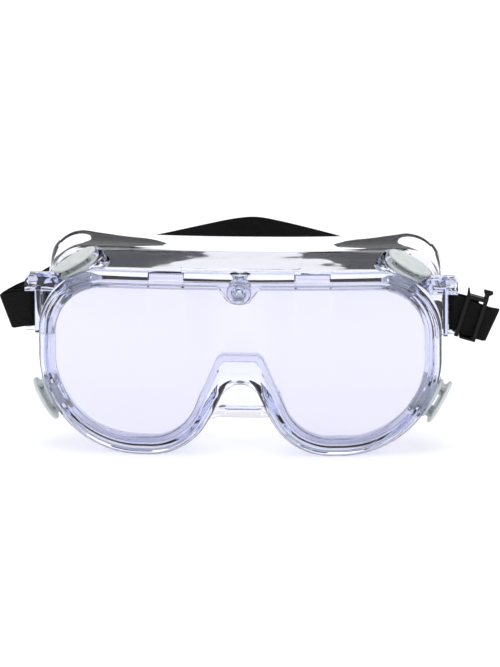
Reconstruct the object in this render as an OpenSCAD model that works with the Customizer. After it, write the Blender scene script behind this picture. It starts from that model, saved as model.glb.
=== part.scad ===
// Clear splash goggles: a one-piece skirt with a curved lens, four capped vents and an elastic headband.
// Millimetres. +X is the wearer's left (right in a front view), +Y runs from the lens to the back of
// the head, +Z is up. The origin is midway between the two lower lobes, at the front of the rim's centre,
// level with the surface the goggles stand on.

/* [Front rim] */
// Width across the front rim
rim_w = 168; // [166:0.5:170]
// Height of the top edge of the front rim
rim_h = 78.3; // [77.8:0.1:79]
// Radius of the two upper corners of the rim
corner_r = 26; // [25:0.5:27]
// Radius of the outer half of each lower lobe
lobe_r = 42; // [41.5:0.5:42.5]
// Radius of the inner half of each lower lobe
inner_lobe_r = 28; // [27.5:0.5:28.5]
// Radius of the cylinder that the lens and the rim's face are bent to
face_bend_r = 600; // [500:10:900]

/* [Lens] */
// Thickness of the lens
lens_t = 2; // [1.8:0.1:2.2]
// How far the lens edge reaches past the opening, into the groove
lens_bite = 3; // [2.6:0.1:3.1]
// Clearance between the lens and its groove
groove_gap = 0.12; // [0.05:0.01:0.2]

/* [Skirt] */
// Wall thickness of the soft skirt
wall_t = 2; // [1.6:0.1:2.2]
// Depth of the skirt's root at the middle of the forehead
depth_mid = 37; // [35:0.5:39]
// How much deeper the skirt is at the temples
depth_temple = 6; // [4:0.5:7]
// How much shallower the skirt is over the nose
depth_nose = 15; // [12:0.5:16]

/* [Vents] */
// Radius of the outer splash disc of a vent cap
cap_r = 9.8; // [9:0.1:10]
// Radius of the bore of a vent seat
vent_bore_r = 5; // [4.5:0.1:5.2]
// Depth of the upper vents' axes behind the lens
upper_vent_y = 24; // [23:0.5:25]
// Depth of the lower vents' axes behind the lens
lower_vent_y = 22; // [21:0.5:23]

/* [Snap button] */
// Height of the button's axis
button_z = 71; // [70.8:0.1:71.2]
// Radius of the button's head
button_head_r = 5.2; // [5:0.1:5.4]
// Radius of the button's shank
shank_r = 1.85; // [1.7:0.05:1.9]

/* [Headband] */
// Width of the elastic webbing
band_w = 15; // [14:0.5:15]
// Thickness of the webbing
band_t = 1.2; // [1:0.1:1.2]

/* [Hidden] */

$fn = 48;
side_x = rim_w / 2;
clear_pvc = [0.80, 0.83, 0.95, 0.45];
clear_lens = [0.94, 0.94, 0.99, 0.35];
milky = [0.88, 0.91, 0.90, 0.9];
webbing = [0.05, 0.05, 0.05];

// ---- Outlines -------------------------------------------------------------------------------------
// An outline is [corner x, z, r, lobe x, z, r, inner lobe x, z, r, nose half width, z, r].
// Every outline has the same number of points, so two of them can be blended or joined by a skin.
rim_face = [side_x - corner_r, rim_h - corner_r, corner_r, side_x - lobe_r, lobe_r, lobe_r,
    38, inner_lobe_r, inner_lobe_r, 0, 20.7, 8.6];
opening = [57, 51.5, 20, 42.5, 42, 34.5, 38, 28, 20.5, 6.3, 39.6, 4];
skirt_root = [66, 65, 15, 43, 42.5, 38.5, 30, 16, 12, 7, 5, 8];
flange_tip = [67, 70, 15, 43, 42.5, 42.5, 30, 14, 14, 7.5, 1.6, 7];
// How far the flange's top edge lies below its two corners at the middle of the forehead
crown_drop = 1.1;

// The same outline moved inwards by d: round lobes shrink and the nose arch grows.
function inset(o, d) = [o[0], o[1], o[2] - d, o[3], o[4], o[5] - d, o[6], o[7], o[8] - d,
    o[9], o[10], o[11] + d];
function arc(x, z, r, from, to, n) =
    [for (i = [0:n]) let (a = from + (to - from) * i / n) [x + r * cos(a), z + r * sin(a)]];
function line(p, q, n) = [for (i = [1:n - 1]) p + (q - p) * i / n];

// Angle at which the straight flank leaves the inner lobe and meets the nose arch.
function flank_angle(o) = let (dx = o[6] - o[9], dz = o[10] - o[7], d = norm([dx, dz]))
    atan2(dz, dx) + asin((o[8] + o[11]) / d);

// Right half, clockwise from the top centre to the middle of the nose.
function half(o) = let (
        a = flank_angle(o),
        corner = arc(o[0], o[1], o[2], 90, 0, 9),
        lobe = arc(o[3], o[4], o[5], 0, -90, 11),
        inner = arc(o[6], o[7], o[8], -90, -90 - a, 7),
        nose = arc(max(o[9], least_flat), o[10], o[11], 90 - a, 90, 5),
        top = [0, o[1] + o[2]])
    concat([top], line(top, corner[0], 9), corner, line(corner[9], lobe[0], 3), lobe,
        line(lobe[11], inner[0], 2), inner, line(inner[7], nose[0], 4), nose);
// Half width of the shortest flat at the top of the nose arch, so that no two points coincide
least_flat = 0.01;
function outline(o) = let (h = half(o)) concat(h, [for (i = [len(h) - 1:-1:1]) [-h[i][0], h[i][1]]]);
function blend(a, b, t) = [for (i = [0:len(a) - 1]) a[i] + (b[i] - a[i]) * t];

// ---- Depths ---------------------------------------------------------------------------------------
function ease(t) = let (c = min(max(t, 0), 1)) c * c * (3 - 2 * c);
function bend_y(x) = face_bend_r - sqrt(face_bend_r * face_bend_r - x * x);
// Depth of the skirt's root: deepest at the temples, shallow over the nose.
function root_y(p) = depth_mid + depth_temple * pow(abs(p[0]) / side_x, 2.2)
    - depth_nose * exp(-pow(p[0] / 14, 2)) * ease((48 - p[1]) / 26);
function crowned(points) = [for (p = points) [p[0],
    p[1] - (p[1] > 60 ? crown_drop * (1 - pow(min(abs(p[0]) / flange_tip[0], 1), 4)) : 0)]];
function tip_y(p) = root_y(p) + 5 + 2 * pow(p[0] / side_x, 2);

function face_ring(points, y) = [for (p = points) [p[0], bend_y(p[0]) + y, p[1]]];
function wall_ring(front, back, t, front_y) = [for (i = [0:len(front) - 1])
    let (p = front[i] + (back[i] - front[i]) * t)
    [p[0], (bend_y(front[i][0]) + front_y) * (1 - t) + root_y(back[i]) * t, p[1]]];
function root_ring(points, y) = [for (p = points) [p[0], root_y(p) + y, p[1]]];
function tip_ring(points, y) = [for (p = points) [p[0], tip_y(p) + y, p[1]]];

// The bead that runs round the rim stops at two seams on the top edge, where the wall comes flush.
seam_x = 62;
function flush(p) = ease((seam_x - abs(p[0])) / 4) * ease((p[1] - 60) / 6);
function wall_front(bead_d, flush_d) = let (
        a = outline(inset(rim_face, bead_d)), b = outline(inset(rim_face, flush_d)))
    [for (i = [0:len(a) - 1]) a[i] + (b[i] - a[i]) * flush(a[i])];

// ---- Skins ----------------------------------------------------------------------------------------
// A closed skin over a loop of rings, the last ring joined to the first.
module ring_skin(rings) {
    n = len(rings[0]);
    m = len(rings);
    points = [for (r = rings) each r];
    faces = [for (i = [0:m - 1], j = [0:n - 1]) let (
            a = i * n + j, b = i * n + (j + 1) % n,
            c = ((i + 1) % m) * n + (j + 1) % n, d = ((i + 1) % m) * n + j)
        each [[a, d, c], [a, c, b]]];
    polyhedron(points, faces);
}

// ---- Frame ----------------------------------------------------------------------------------------
wall_y = 8.4;
lens_y = 2.4;
lip_back = lens_y - groove_gap;
groove_back = lens_y + lens_t + groove_gap;
bead_d = 2.4;
flush_d = 0.5;

module skirt() {
    groove = outline(inset(opening, -lens_bite - groove_gap));
    edge = outline(opening);
    outer = wall_front(bead_d, flush_d);
    inner = wall_front(bead_d + wall_t, flush_d + wall_t);
    root = outline(skirt_root);
    root_inner = outline(inset(skirt_root, wall_t));
    tip = crowned(outline(flange_tip));
    ring_skin([
        face_ring(edge, 0.5),
        face_ring(outline(inset(opening, -0.5)), 0),
        face_ring(outline(inset(rim_face, 2.8)), 0),
        face_ring(outline(inset(rim_face, 0.8)), 0.5),
        face_ring(outline(rim_face), 1.9),
        face_ring(outline(rim_face), 6.6),
        face_ring(outline(inset(rim_face, 0.7)), 7.7),
        face_ring(outer, wall_y),
        for (t = [0.25, 0.5, 0.75]) wall_ring(outer, root, t, wall_y),
        root_ring(root, 0),
        root_ring(blend(root, tip, 0.3), 2.4),
        tip_ring(tip, 0),
        tip_ring(crowned(outline(inset(flange_tip, 1))), 0.9),
        root_ring(blend(root_inner, crowned(outline(inset(flange_tip, 2.2))), 0.25), 3.4),
        root_ring(root_inner, 0.6),
        for (t = [0.7, 0.35]) wall_ring(inner, root_inner, t, wall_y),
        face_ring(inner, wall_y),
        face_ring(edge, groove_back + 2),
        face_ring(edge, groove_back),
        face_ring(groove, groove_back),
        face_ring(groove, lip_back),
        face_ring(edge, lip_back)
    ]);
}

// Tab on the lip at the top centre, which carries the button.
tab_top = 73.6;
tab_bottom = 65.7;
module lip_tab(y, t) {
    translate([0, y + t, 0]) rotate([90, 0, 0]) linear_extrude(t)
        polygon([[-9.5, tab_top], [9.5, tab_top], [8.2, 71.5], [4.2, 66.6], [2.6, tab_bottom],
            [-2.6, tab_bottom], [-4.2, 66.6], [-8.2, 71.5]]);
}

// Windows in the top front edge, which the two tabs of the lens snap into.
window_x = 23;
window_w = 15;
window_z = 75.2;
module lens_windows() {
    for (s = [0, 1]) mirror([s, 0, 0]) {
        translate([window_x, -2, window_z]) cube([window_w, 8.2, 8]);
        // Slot between the groove and the window
        translate([window_x + 0.2, lens_y + 0.3, window_z - 1.2]) cube([window_w - 0.4, 3.1, 2]);
    }
}

// Blank raised panel on the top wall.
panel_w = 50;
panel_l = 22;
panel_r = 3;
panel_slope = 4.4;
module brow_panel() {
    translate([0, 22, 78.2]) rotate([panel_slope, 0, 0]) linear_extrude(1.1) {
        square([panel_w - 2 * panel_r, panel_l], center = true);
        square([panel_w, panel_l - 2 * panel_r], center = true);
        for (x = [-1, 1], y = [-1, 1])
            translate([x * (panel_w / 2 - panel_r), y * (panel_l / 2 - panel_r)]) circle(panel_r);
    }
}

button_gap = 0.05;
module button_bore() {
    translate([0, 20, button_z]) rotate([90, 0, 0]) cylinder(r = shank_r + button_gap, h = 30);
}

// A vent's own frame: its seat rests on z = 0, its axis points out of the wall.
vents = ["upper_left", "upper_right", "lower_left", "lower_right"];
// Direction of a vent from the centre of the rim's arc beside it, how far off it lies, and its axis
upper_at = 66;
upper_reach = 23.9;
upper_angle = 60;
lower_angle = -30;
function is_upper(name) = name == "upper_left" || name == "upper_right";
module at_vent(name) {
    upper = is_upper(name);
    left = name == "upper_left" || name == "lower_left";
    at = upper ? upper_at : lower_angle;
    centre = upper ? [rim_face[0], rim_face[1]] : [rim_face[3], rim_face[4]];
    reach = upper ? upper_reach : lobe_r;
    mirror([left ? 1 : 0, 0, 0])
        translate([centre[0] + reach * cos(at), upper ? upper_vent_y : lower_vent_y,
                centre[1] + reach * sin(at)])
            rotate([0, 90 - (upper ? upper_angle : lower_angle), 0]) children();
}

neck_r = 6.8;
boss_r = 9.6;
boss_depth = 5;
// The upper vents are sunk into a well in the sloping wall, whose collar follows the wall's slope.
well_r = 10.4;
collar_r = 12;
wall_slope = 11.8;
module boss(name) {
    if (is_upper(name))
        intersection() {
            translate([0, 0, -boss_depth]) cylinder(r = collar_r, h = boss_depth + 5);
            rotate([wall_slope, 0, 0]) translate([-20, -20, -17.8]) cube([40, 40, 20]);
        }
    else
        translate([0, 0, -boss_depth]) cylinder(r = boss_r, h = boss_depth);
}
module vent_hole() {
    cylinder(r = well_r, h = 12);
    translate([0, 0, -12]) cylinder(r = neck_r + 0.05, h = 16);
    translate([0, 0, -boss_depth - 4]) cylinder(r = 8.4, h = 4);
}

module frame_body() {
    color(clear_pvc) difference() {
        union() {
            skirt();
            for (v = vents) at_vent(v) boss(v);
            lip_tab(0, lip_back);
            lip_tab(groove_back, 2);
            brow_panel();
        }
        for (v = vents) at_vent(v) vent_hole();
        lens_windows();
        button_bore();
        // Room for the socket behind the lip
        translate([0, socket_y, button_z]) rotate([-90, 0, 0]) cylinder(r = 4.8, h = 5);
    }
}

// ---- Lens and its button --------------------------------------------------------------------------
tab_gap = 0.4;
tab_reach = 77.6;
module lens_blank() {
    translate([0, 20, 0]) rotate([90, 0, 0]) linear_extrude(30) polygon(outline(inset(opening, -lens_bite)));
    for (s = [-1, 1]) translate([s * (window_x + window_w / 2) - window_w / 2 + tab_gap, -10, rim_h - 8])
        cube([window_w - 2 * tab_gap, 30, tab_reach - rim_h + 8]);
}

module lens() {
    color(clear_lens) difference() {
        intersection() {
            lens_blank();
            difference() {
                translate([0, face_bend_r + lens_y, -10]) cylinder(r = face_bend_r, h = 100, $fn = 360);
                translate([0, face_bend_r + lens_y + lens_t, -20])
                    cylinder(r = face_bend_r, h = 120, $fn = 360);
            }
        }
        button_bore();
    }
}

head_t = 1.7;
shank_l = 9.6;
module lens_button() {
    color(clear_pvc) translate([0, 0, button_z]) rotate([90, 0, 0]) difference() {
        union() {
            cylinder(r = button_head_r, h = head_t - 0.5);
            cylinder(r = button_head_r - 0.6, h = head_t);
            translate([0, 0, -shank_l]) cylinder(r = shank_r, h = shank_l + 0.1);
        }
        // Ring groove and centre dimple in the face of the head
        translate([0, 0, head_t - 0.6]) difference() {
            cylinder(r = 3.7, h = 2);
            translate([0, 0, -1]) cylinder(r = 2.9, h = 4);
        }
        translate([0, 0, head_t - 0.8]) cylinder(r = 1.8, h = 2);
    }
}

socket_y = groove_back + 2;
module button_socket() {
    color(clear_pvc) translate([0, socket_y, button_z]) rotate([-90, 0, 0]) difference() {
        union() {
            cylinder(r = 4.6, h = 1.2);
            cylinder(r = 3.4, h = 2.8);
        }
        translate([0, 0, -1]) cylinder(r = shank_r + button_gap, h = 5);
    }
}

// ---- Vents ----------------------------------------------------------------------------------------
seat_t = 1.6;
module vent_seat() {
    color(milky) difference() {
        union() {
            cylinder(r = 8.9, h = seat_t);
            translate([0, 0, -boss_depth]) cylinder(r = neck_r, h = boss_depth + 0.1);
            translate([0, 0, -boss_depth - 1.2]) cylinder(r = 8, h = 1.2);
        }
        translate([0, 0, -10]) cylinder(r = vent_bore_r, h = 20);
    }
}

// Part of a ring between two radii, spanning an angle about +X or about its opposite.
module ring_posts(r_in, r_out, span, h) {
    intersection() {
        difference() {
            cylinder(r = r_out, h = h);
            translate([0, 0, -1]) cylinder(r = r_in, h = h + 2);
        }
        translate([-r_out - 1, -r_out * sin(span / 2), -1])
            cube([2 * r_out + 2, 2 * r_out * sin(span / 2), h + 2]);
    }
}

disc_z = 3.8;
disc_t = 1.5;
module vent_cap() {
    color(milky) {
        translate([0, 0, disc_z]) cylinder(r = cap_r, h = disc_t - 0.4);
        translate([0, 0, disc_z + disc_t - 0.4]) cylinder(r = cap_r - 0.4, h = 0.4);
        translate([0, 0, seat_t]) ring_posts(6.2, 7.8, 60, disc_z - seat_t + 0.1);
        translate([0, 0, -2]) ring_posts(3.8, vent_bore_r - 0.03, 70, disc_z + 2.1);
    }
}

// ---- Strap lugs -----------------------------------------------------------------------------------
lug_y = 20;
bar_x = 89;
bar_r = 1.4;
slot_low = 50.6;
slot_high = 66.7;
lug_foot = 48.9;
module lug_plate(points, depth) {
    translate([0, lug_y + depth / 2, 0]) rotate([90, 0, 0]) linear_extrude(depth) polygon(points);
}

module strap_lug() {
    color(clear_pvc) difference() {
        union() {
            // Upper arm
            lug_plate([[76.2, slot_high], [90.4, slot_high], [90.4, 71], [88.6, 72.9], [76.6, 72.9],
                [74.2, 71]], 9);
            // Standing strip beside the slot, and the web that ties it to the wall
            lug_plate([[84.3, lug_foot], [86.1, lug_foot], [86.1, slot_high + 0.5],
                [83.9, slot_high + 0.5]], 10);
            lug_plate([[80.6, 47.2], [84.6, lug_foot], [84.6, slot_high + 0.5], [77.6, slot_high + 0.5],
                [79.4, 58]], 2.4);
            // Lower arm
            lug_plate([[80.4, lug_foot], [90.1, lug_foot], [90.1, slot_low], [80.4, slot_low]], 2.2);
            translate([bar_x, lug_y, slot_low - 0.4]) cylinder(r = bar_r, h = slot_high - slot_low + 1);
        }
        // Pocket through the upper arm
        translate([85.4, 0, 68.3]) cube([3.6, 60, 2.6]);
        // Room for the upper vent
        at_vent("upper_right") {
            cylinder(r = cap_r + 0.4, h = 14);
            translate([0, 0, -9]) cylinder(r = 8.9, h = 9.1);
        }
    }
}

// ---- Headband -------------------------------------------------------------------------------------
// A station is [x, y, z, lean]: a point on the middle of the band, and how far its width leans over
// towards +X from upright, in degrees.
function across(s) = [sin(s[3]), 0, cos(s[3])];
function middle(s) = [s[0], s[1], s[2]];
function through(route, i) = let (
        a = middle(route[max(i - 1, 0)]), b = middle(route[min(i + 1, len(route) - 1)]),
        n = cross(b - a, across(route[i])))
    n / norm(n);
function band_section(route, i) = let (
        m = middle(route[i]), w = across(route[i]) * band_w / 2, t = through(route, i) * band_t / 2)
    [m - w - t, m - w + t, m + w + t, m + w - t];

module band(route) {
    n = len(route);
    points = [for (i = [0:n - 1]) each band_section(route, i)];
    sides = [for (i = [0:n - 2], j = [0:3]) let (
            a = i * 4 + j, b = i * 4 + (j + 1) % 4, c = (i + 1) * 4 + (j + 1) % 4, d = (i + 1) * 4 + j)
        each [[a, b, c], [a, c, d]]];
    last = 4 * (n - 1);
    ends = [[3, 2, 1], [3, 1, 0], [last, last + 1, last + 2], [last, last + 2, last + 3]];
    polyhedron(points, concat(sides, ends));
}

// A smooth run through stations set by hand, with steps between each pair.
function spline(s, i, t) = let (
        a = s[max(i - 1, 0)], b = s[i], c = s[i + 1], d = s[min(i + 2, len(s) - 1)])
    0.5 * (2 * b + (c - a) * t + (2 * a - 5 * b + 4 * c - d) * t * t + (3 * b - a - 3 * c + d) * t * t * t);
function smooth(s, steps) =
    concat([for (i = [0:len(s) - 2], k = [0:steps - 1]) spline(s, i, k / steps)], [s[len(s) - 1]]);

// The band's two fixed ends, where each strap end hands over to the headband across a hairline gap.
left_joint = [-88.4, 46, 57.2, 0];
right_joint = [87.6, 46, 51.6, 0];
hand_over = [0, 0.25, 0, 0];
band_middle = [[-85.2, 57, 57.4, 0], [-80, 69, 57.6, 0], [-71, 83.5, 57.9, 0], [-60, 97.5, 58, 0],
    [-48.7, 108.5, 58, 0], [-37, 119, 58, 0], [-24, 131.3, 58, 0], [-14, 140.5, 58, 0], [-7, 145.3, 58, 0],
    [-2, 146.6, 58, 0], [3, 145.2, 57.9, 0], [11, 139.5, 57.8, 0], [20.5, 132, 57.6, 0], [34, 121.5, 57, 0],
    [50, 107.5, 56.2, 0], [64, 92.5, 55, 0], [75, 77, 53.8, 0], [82, 65, 52.8, 0], [85.8, 55.5, 52, 0]];
module headband() {
    color(webbing)
        band(smooth(concat([left_joint + hand_over], band_middle, [right_joint + hand_over]), 3));
}

// The turn of the webbing round a lug's bar, from behind it, through the slot, to its front.
wrap_r = bar_r + 0.15 + band_t / 2;
band_z = 58.4;
function wrap(side) = [for (a = [90:22.5:270])
    [side * (bar_x + wrap_r * cos(a)), lug_y + wrap_r * sin(a), band_z, 0]];

module strap_end_left() {
    hem = [[-97, 22.6, 57.4, -14], [-93, 22.35, 58.1, -5]];
    run = [[-92, 18.3, 58.1, -6], [-95.5, 19, 57.3, -14], [-97.4, 19.8, 56.7, -19], [-98.2, 20.8, 56.6, -20],
        [-98.2, 22.4, 56.6, -19], [-97.4, 26, 56.7, -15], [-94.4, 34, 57, -8], [-90.6, 41.6, 57.2, -2]];
    color(webbing) band(concat(hem, wrap(-1), run, [left_joint]));
}

module strap_end_right() {
    hem = [[97, 22.6, 55.3, 16], [93, 22.3, 57.2, 8]];
    run = [[91, 18.28, 57.6, 13], [93, 18.63, 56.8, 18], [99, 19.69, 54.2, 20], [102.4, 20.3, 52.94, 22],
        [103.6, 20.9, 52.5, 24], [104, 22, 52.3, 24], [103.2, 23.4, 52.2, 23], [98, 27, 51.9, 18],
        [92.6, 31.4, 51.6, 10], [89.2, 38, 51.5, 3]];
    color(webbing) band(concat(hem, wrap(1), run, [right_joint]));
}

// ---- Slider ---------------------------------------------------------------------------------------
// Three-bar slider on the front run of the right strap end: local x runs outwards along the webbing.
slider_l = 9.2;
slider_tilt = 18;
rail_in = band_w / 2 + 0.75;
rail_w = 1.4;
low_rail_w = 0.8;
slider_half_t = 2.4;
bar_clear = band_t / 2 + 0.55;
bar_w = 1.5;
rail_start = 1.8;
low_rail_start = 2.5;
module slider_bar(x) {
    translate([x, -slider_half_t, -rail_in - 0.5])
        cube([bar_w, slider_half_t - bar_clear, 2 * rail_in + 1]);
}
module strap_slider() {
    color(webbing) translate([91, 18.27, 57.4]) rotate([0, 0, 10]) rotate([0, slider_tilt, 0]) {
        translate([rail_start, -slider_half_t, rail_in])
            cube([slider_l - rail_start, 2 * slider_half_t, rail_w]);
        translate([low_rail_start, -slider_half_t, -rail_in - low_rail_w])
            cube([slider_l - low_rail_start, 2 * slider_half_t, low_rail_w]);
        // Two outer bars in front of the webbing, joined at the top, and the middle bar behind it
        slider_bar(0);
        translate([0, -slider_half_t, rail_in]) cube([rail_start + 0.5, slider_half_t - bar_clear, rail_w]);
        slider_bar(slider_l - bar_w);
        mirror([0, 1, 0]) slider_bar(4.2);
        // Pointed end of the inner bar and the flared thumb tab on the outer bar
        translate([0.8, -1.6, rail_in + rail_w - 0.3]) rotate([0, -slider_tilt, 0])
            cylinder(r1 = 0.75, r2 = 0.35, h = 3.4);
        translate([0, -1.2, 0]) rotate([90, 0, 0]) linear_extrude(1.2) polygon([[slider_l - 2, rail_in + 1],
            [slider_l, rail_in + 1], [slider_l - 0.2, 11.4], [slider_l + 1.2, 12.7], [slider_l + 0.8, 13.8],
            [slider_l - 3, 13.6], [slider_l - 2.8, 12.6], [slider_l - 2, 11.4]]);
    }
}

frame_body();
lens();
lens_button();
button_socket();
mirror([1, 0, 0]) strap_lug();  // strap_lug_left
strap_lug();  // strap_lug_right
for (v = vents) at_vent(v) vent_seat();
for (v = vents) at_vent(v) vent_cap();
headband();
strap_end_left();
strap_end_right();
strap_slider();
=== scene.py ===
# %% [markdown]
# # Clear splash goggles
# The goggles are a soft, clear frame that hugs the face, a thin curved lens in a groove, four capped
# round vents, two clear lugs and a black elastic headband. Their size and the motion of their parts come
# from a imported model, which we load and keep still. Here we make what the eye sees: bent clear walls,
# milky vents and ribbed webbing. Everything is in metres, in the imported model's own frame.

import math

import bmesh
import bpy
import numpy as np
from mathutils import Matrix, Vector


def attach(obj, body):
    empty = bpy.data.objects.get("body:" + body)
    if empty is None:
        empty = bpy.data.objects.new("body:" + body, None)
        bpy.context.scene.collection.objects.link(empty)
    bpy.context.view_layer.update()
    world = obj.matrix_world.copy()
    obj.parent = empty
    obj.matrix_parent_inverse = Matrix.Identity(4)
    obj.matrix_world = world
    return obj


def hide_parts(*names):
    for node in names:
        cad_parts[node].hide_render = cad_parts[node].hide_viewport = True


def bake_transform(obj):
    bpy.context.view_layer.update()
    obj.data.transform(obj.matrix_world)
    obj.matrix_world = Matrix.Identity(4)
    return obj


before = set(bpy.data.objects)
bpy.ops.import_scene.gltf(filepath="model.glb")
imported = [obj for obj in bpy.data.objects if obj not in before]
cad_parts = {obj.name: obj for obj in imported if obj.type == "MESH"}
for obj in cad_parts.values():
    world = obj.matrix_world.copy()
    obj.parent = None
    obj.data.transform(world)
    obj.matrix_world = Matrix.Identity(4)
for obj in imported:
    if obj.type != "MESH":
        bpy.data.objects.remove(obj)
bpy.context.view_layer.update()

# %% [markdown]
# ## Small helpers
# Most pieces are grids of points: a row of points round an outline, repeated from front to back. One
# helper turns such a grid into a mesh. Faces are smooth where the surface bends gently and sharp where
# it turns a corner, which we mark by angle, so that clear walls don't look like a faceted gem.

# %% Mesh helpers
MM = 0.001


def finish_mesh(mesh, sharp_deg=35):
    mesh.validate()
    for polygon in mesh.polygons:
        polygon.use_smooth = True
    mesh.set_sharp_from_angle(angle=math.radians(sharp_deg))
    return mesh


def add_piece(name, mesh):
    piece = bpy.data.objects.new(name, mesh)
    bpy.context.scene.collection.objects.link(piece)
    return piece


def mesh_from(name, points, faces, sharp_deg=35):
    mesh = bpy.data.meshes.new(name)
    mesh.from_pydata([tuple(p) for p in points], [], [tuple(f) for f in faces])
    return finish_mesh(mesh, sharp_deg)


def outward(piece):
    """Turns every face of a closed piece outwards."""
    bm = bmesh.new()
    bm.from_mesh(piece.data)
    bmesh.ops.remove_doubles(bm, verts=bm.verts, dist=1e-6)
    bmesh.ops.recalc_face_normals(bm, faces=bm.faces)
    bm.to_mesh(piece.data)
    bm.free()
    return piece


def bake_modifiers(piece, sharp_deg=35):
    """Replaces a piece's mesh by what its modifiers make of it."""
    depsgraph = bpy.context.evaluated_depsgraph_get()
    mesh = bpy.data.meshes.new_from_object(piece.evaluated_get(depsgraph), depsgraph=depsgraph)
    piece.modifiers.clear()
    old = piece.data
    piece.data = mesh
    bpy.data.meshes.remove(old)
    finish_mesh(mesh, sharp_deg)
    return piece


def cut_or_join(piece, tool, operation):
    """Cuts tool out of piece or joins it on, then throws the tool away."""
    modifier = piece.modifiers.new("shape", "BOOLEAN")
    modifier.operation = operation
    modifier.solver = "EXACT"
    modifier.object = tool
    bake_modifiers(piece)
    bpy.data.objects.remove(tool)
    return piece


def bevel(piece, width, segments=2, angle_deg=35):
    modifier = piece.modifiers.new("rounded edges", "BEVEL")
    modifier.width = width
    modifier.segments = segments
    modifier.limit_method = "ANGLE"
    modifier.angle_limit = math.radians(angle_deg)
    modifier.use_clamp_overlap = True
    return bake_modifiers(piece, 50)


def join(name, parts):
    """One mesh out of several pieces that never move apart."""
    bm = bmesh.new()
    for part in parts:
        bm.from_mesh(part.data)
    for part in parts:
        bpy.data.objects.remove(part)
    mesh = bpy.data.meshes.new(name)
    bm.to_mesh(mesh)
    bm.free()
    return add_piece(name, finish_mesh(mesh, 40))


def lathe(name, profile, steps=72):
    """Turns a closed profile of (radius, height) round the Z axis."""
    angles = np.linspace(0, 2 * math.pi, steps, endpoint=False)
    points = [(r * math.cos(a), r * math.sin(a), z) for a in angles for r, z in profile]
    n = len(profile)
    faces = []
    for i in range(steps):
        this, following = i * n, (i + 1) % steps * n
        faces += [(this + j, following + j, following + (j + 1) % n, this + (j + 1) % n) for j in range(n)]
    return outward(add_piece(name, mesh_from(name, points, faces)))


def extrude(name, outline, y_front, y_back):
    """A flat outline of (x, z), pushed from y_front to y_back."""
    n = len(outline)
    points = [(x, y, z) for y in (y_front, y_back) for x, z in outline]
    faces = [tuple(range(n)), tuple(range(2 * n - 1, n - 1, -1))]
    faces += [(i, i + n, (i + 1) % n + n, (i + 1) % n) for i in range(n)]
    return outward(add_piece(name, mesh_from(name, points, faces)))


def block(name, low, high):
    side_view = [(low[0], low[2]), (high[0], low[2]), (high[0], high[2]), (low[0], high[2])]
    return extrude(name, side_view, low[1], high[1])


def place(piece, matrix):
    piece.data.transform(matrix)
    if matrix.determinant() < 0:
        piece.data.flip_normals()
    return piece


def turned_solid(name, profile, steps=72):
    """A lathe piece whose profile is in millimetres."""
    return place(lathe(name, profile, steps), Matrix.Scale(MM, 4))


MIRROR = Matrix.Scale(-1, 4, (1, 0, 0))
SWAP_Y_Z = Matrix(((1, 0, 0, 0), (0, 0, 1, 0), (0, 1, 0, 0), (0, 0, 0, 1)))


def lay_flat(piece):
    """Turns an extruded outline so that its thickness runs along Z."""
    return outward(place(piece, SWAP_Y_Z))


print("helpers ready")

# %% [markdown]
# ## Camera
# The goggles are seen from a little above and from very slightly to one side, with a long lens, so that
# the far side of the headband stays nearly as large as the near side. We aim the camera by its three
# axes. The aim point is worked out from how far the view's middle lies from the goggles' own origin.

# %% Camera
VIEW_AZIMUTH = math.radians(3.3)
VIEW_ELEVATION = math.radians(15.0)
VIEW_ROLL = math.radians(-0.3)
VIEW_DISTANCE = 6.0
VIEW_WIDTH = 208.3 * MM
AIM_RIGHT = 4.5 * MM
AIM_UP = 51.5 * MM

right = Vector((math.cos(VIEW_AZIMUTH), math.sin(VIEW_AZIMUTH), 0))
forward = Vector((-math.sin(VIEW_AZIMUTH) * math.cos(VIEW_ELEVATION),
                  math.cos(VIEW_AZIMUTH) * math.cos(VIEW_ELEVATION), -math.sin(VIEW_ELEVATION)))
up = right.cross(forward)
aim = right * AIM_RIGHT + up * AIM_UP
rolled_right = right * math.cos(VIEW_ROLL) + up * math.sin(VIEW_ROLL)
rolled_up = up * math.cos(VIEW_ROLL) - right * math.sin(VIEW_ROLL)

camera_data = bpy.data.cameras.new("camera")
camera_data.sensor_fit = "HORIZONTAL"
camera_data.lens = camera_data.sensor_width * VIEW_DISTANCE / VIEW_WIDTH
camera_data.clip_end = 20
camera = bpy.data.objects.new("camera", camera_data)
bpy.context.scene.collection.objects.link(camera)
turn = Matrix((rolled_right, rolled_up, -forward)).transposed()
camera.matrix_world = Matrix.Translation(aim - forward * VIEW_DISTANCE) @ turn.to_4x4()
bpy.context.scene.camera = camera
print("focal length %.0f mm" % camera_data.lens)

# %% [markdown]
# ## Outlines
# Seen from the front, every line on the frame is a chain of arcs: a round upper corner, a large outer
# lobe, a smaller inner lobe, a straight flank and the arch over the nose. An outline is therefore a few
# centres and radii. Moving it inwards only changes the radii, so nested lines stay exactly parallel, and
# because all outlines have the same number of points, any two of them can be blended.

# %% Outlines in the front plane, in millimetres
# corner x, z, r; outer lobe x, z, r; inner lobe x, z, r; nose half width, z, r
RIM = np.array([58, 52.3, 26, 42, 42, 42, 38, 28, 28, 0.01, 20.7, 8.6])
OPENING = np.array([57, 51.5, 20, 42.5, 42, 34.5, 38, 28, 20.5, 6.3, 39.6, 4])
ROOT = np.array([66, 65, 15, 43, 42.5, 38.5, 30, 16, 12, 7, 5, 8])
TIP = np.array([67, 70, 15, 43, 42.5, 42.5, 30, 14, 14, 7.5, 1.6, 7])
COUNTS = {"top": 60, "corner": 44, "side": 8, "lobe": 52, "bottom": 4, "inner": 34, "flank": 16, "nose": 18}


def inset(shape, d):
    moved = shape.copy()
    moved[[2, 5, 8]] -= d
    moved[11] += d
    return moved


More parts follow.
